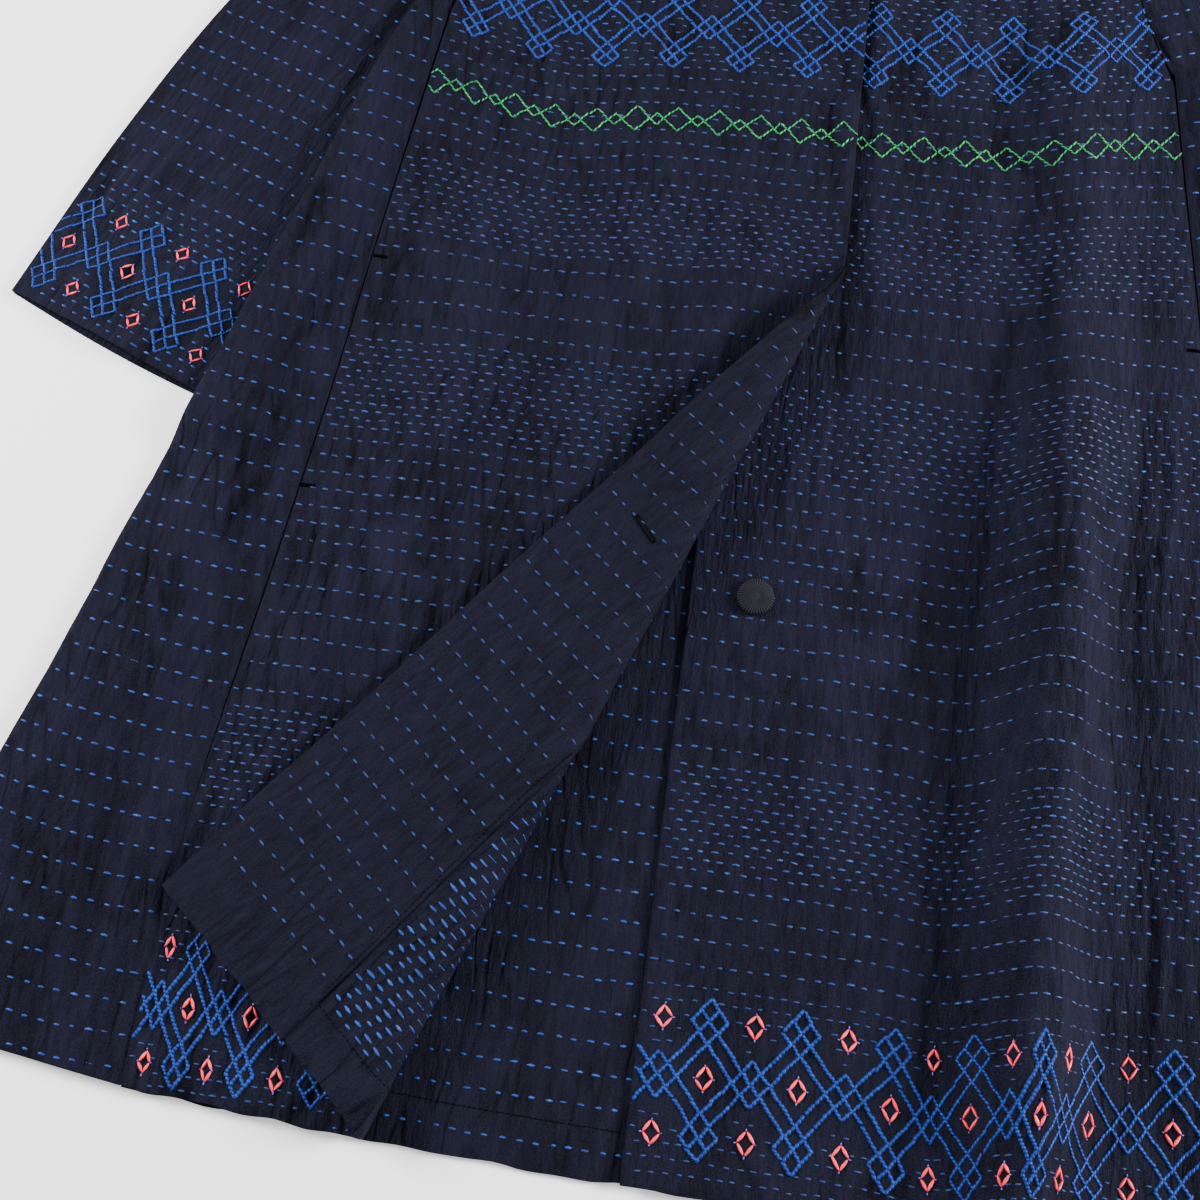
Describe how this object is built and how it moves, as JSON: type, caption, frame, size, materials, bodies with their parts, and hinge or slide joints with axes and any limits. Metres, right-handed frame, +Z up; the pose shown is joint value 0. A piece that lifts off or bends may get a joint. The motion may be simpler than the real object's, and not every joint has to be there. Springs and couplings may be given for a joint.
{
  "type": "embroidered long coat",
  "caption": "Long flared coat of two-layer quilted cotton with rows of running stitch and geometric embroidery, laid flat with one lower front corner turned back.",
  "frame": {"origin": "middle of the coat's box, on the surface that it lies on", "axes": "+X towards the wearer's left side, +Y from the hem to the neck, +Z up from the surface"},
  "size_m": [0.95, 0.9653, 0.0368],
  "materials": {
    "quilted_cotton": "matte",
    "cotton_inside": "matte",
    "covered_button": "satin"
  },
  "bodies": {
    "root": {"back": "cotton_inside", "back_neck_facing": "cotton_inside", "front_left": "quilted_cotton", "front_right": "quilted_cotton", "facing_right": "cotton_inside", "side_left": "quilted_cotton", "side_right": "quilted_cotton", "sleeve_left": "quilted_cotton", "sleeve_right": "quilted_cotton", "button": "covered_button"}
  },
  "joints": []
}
